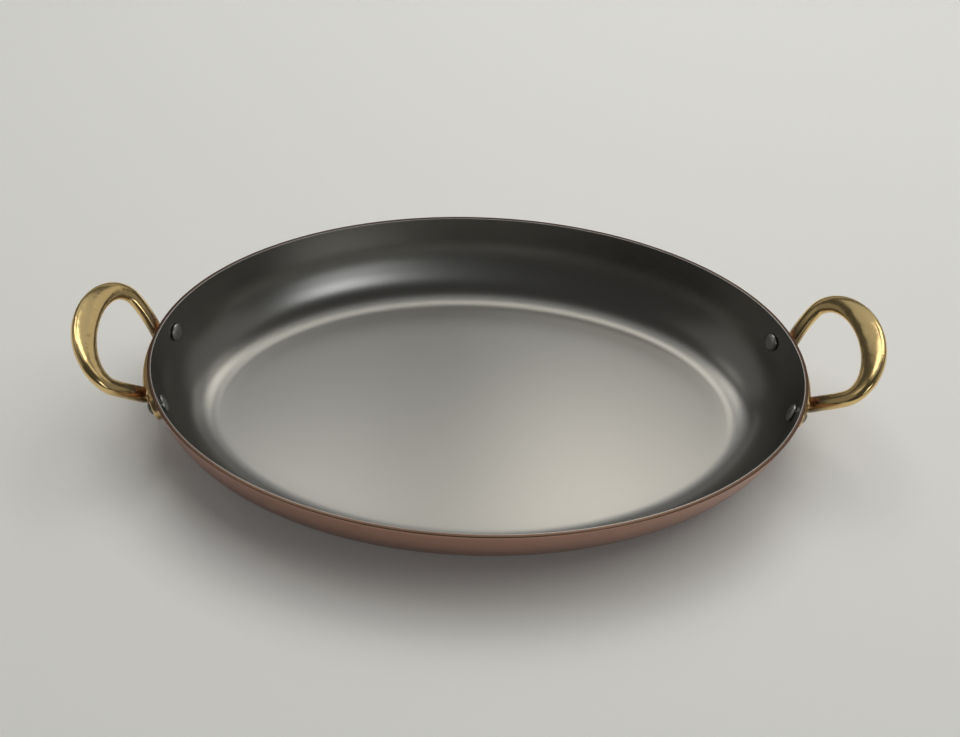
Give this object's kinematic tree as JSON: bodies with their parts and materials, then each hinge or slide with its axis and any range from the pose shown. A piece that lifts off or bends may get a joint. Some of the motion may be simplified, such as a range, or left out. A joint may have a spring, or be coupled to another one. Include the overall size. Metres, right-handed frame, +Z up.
{
  "type": "oval gratin pan",
  "caption": "Oval copper gratin pan with a satin steel lining, sloping rounded walls and riveted bronze loop handles that rise outwards from both ends.",
  "frame": {"origin": "middle of the flat underside, which is the bottom centre of the bounding box", "axes": "+X along the long axis towards the right handle, +Y towards the rear, +Z up"},
  "size_m": [0.4248, 0.2342, 0.0719],
  "materials": {
    "copper": "satin copper, lightly brushed",
    "satin_steel": "satin stainless steel",
    "bronze": "cast bronze, polished",
    "rivet_steel": "polished stainless steel"
  },
  "bodies": {
    "root": {"copper_shell": "copper", "steel_lining": "satin_steel", "handle_left": "bronze", "handle_right": "bronze", "rivet_left_rear": "rivet_steel", "rivet_left_front": "rivet_steel", "rivet_right_rear": "rivet_steel", "rivet_right_front": "rivet_steel"}
  },
  "joints": []
}
